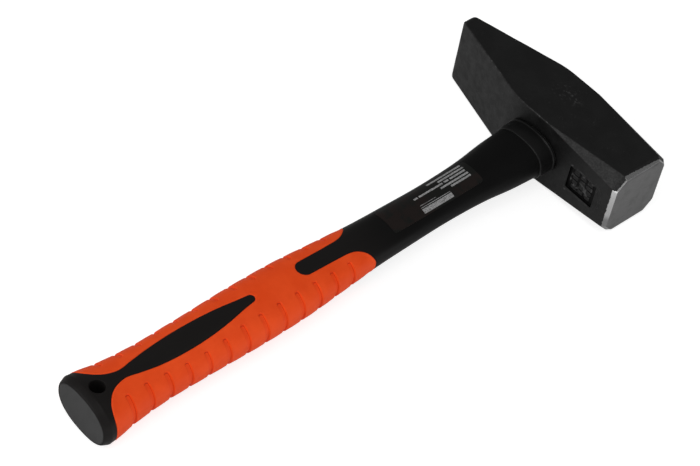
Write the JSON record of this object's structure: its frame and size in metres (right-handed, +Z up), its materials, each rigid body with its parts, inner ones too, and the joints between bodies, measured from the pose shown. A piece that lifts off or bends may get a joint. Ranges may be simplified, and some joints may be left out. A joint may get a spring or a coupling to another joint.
{
  "type": "cross-pein hammer",
  "caption": "Machinist's cross-pein hammer with a black forged head, an oval moulded handle, an orange ribbed grip and a hanging hole in the butt.",
  "frame": {"origin": "on the lower cheek of the head, below the centre of the eye, so the hammer lies on its side on z = 0", "axes": "+X along the head to the striking face, the handle runs along -Y to its butt, +Z up from one cheek to the other"},
  "size_m": [0.1524, 0.3773, 0.048],
  "materials": {
    "head_paint": "thin satin black paint over forged steel, scuffed at the edges, with the striking face and its bevel ground bare",
    "fibreglass": "pultruded glass fibre rod, straw coloured",
    "resin": "cast black epoxy, smooth, level just under the top of the eye",
    "gasket_rubber": "dull black rubber",
    "collar_plastic": "satin black moulded plastic with a thin shine on its rims",
    "jacket_plastic": "satin black moulded polypropylene with a very fine grain",
    "grip_rubber": "matte orange-red soft-touch rubber",
    "cap_plastic": "dark grey moulded plastic, matte",
    "label_print": "thin satin film, brownish black, with blank light bars where print would be"
  },
  "bodies": {
    "root": {"hammer_head": "head_paint", "fibreglass_core": "fibreglass", "eye_resin": "resin", "eye_gasket": "gasket_rubber", "neck_collar": "collar_plastic", "shaft_jacket": "jacket_plastic", "grip_sleeve": "grip_rubber", "end_cap": "cap_plastic", "label_film": "label_print"}
  },
  "joints": []
}
